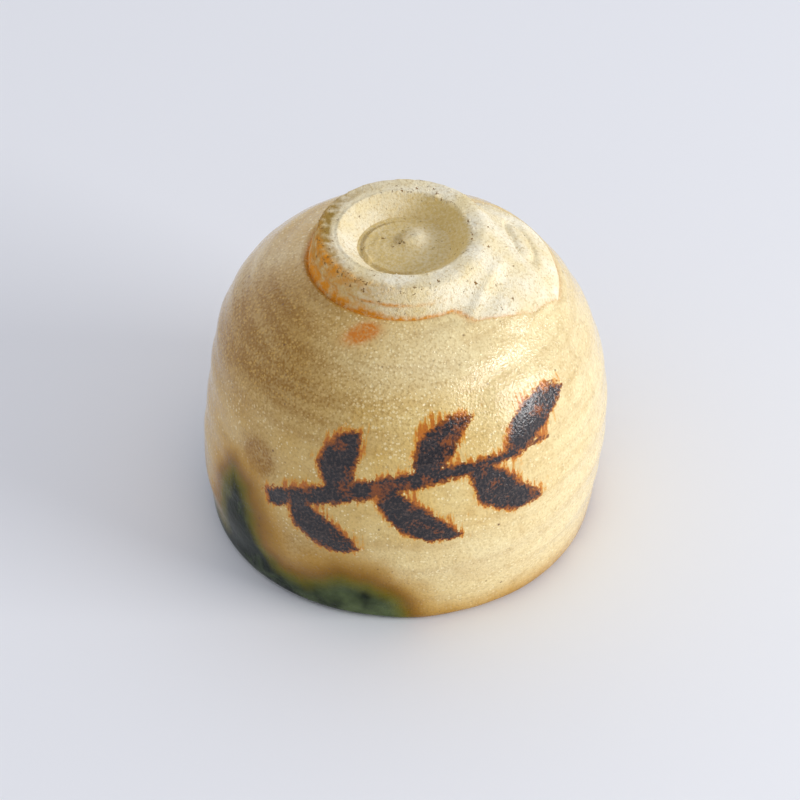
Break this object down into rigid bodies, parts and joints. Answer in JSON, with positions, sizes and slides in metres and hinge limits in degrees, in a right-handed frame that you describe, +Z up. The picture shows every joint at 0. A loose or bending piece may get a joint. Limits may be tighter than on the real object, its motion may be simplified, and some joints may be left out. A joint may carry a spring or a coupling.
{
  "type": "guinomi sake cup",
  "caption": "Hand-thrown stoneware sake cup stored mouth down, with a luted foot ring, straw glaze, a copper-green dipped rim and an iron-brushed twig.",
  "frame": {"origin": "middle of the plane of the rim, where the cup rests mouth down", "axes": "+Z up from the rim to the foot, -Y towards the painted front, +X towards the smeared side of the foot; turned 180 degrees about X the cup stands on its foot to be drunk from"},
  "size_m": [0.0622, 0.0626, 0.0517],
  "materials": {
    "stoneware_clay": "matte",
    "straw_glaze": "satin",
    "copper_glaze": "gloss",
    "iron_brushwork": "satin"
  },
  "bodies": {
    "root": {"clay_body": "stoneware_clay", "foot_ring": "stoneware_clay", "luting_smear": "stoneware_clay", "outer_glaze": "straw_glaze", "inner_glaze": "straw_glaze", "copper_rim": "copper_glaze", "front_brushwork": "iron_brushwork", "back_brushwork": "iron_brushwork"}
  },
  "joints": []
}
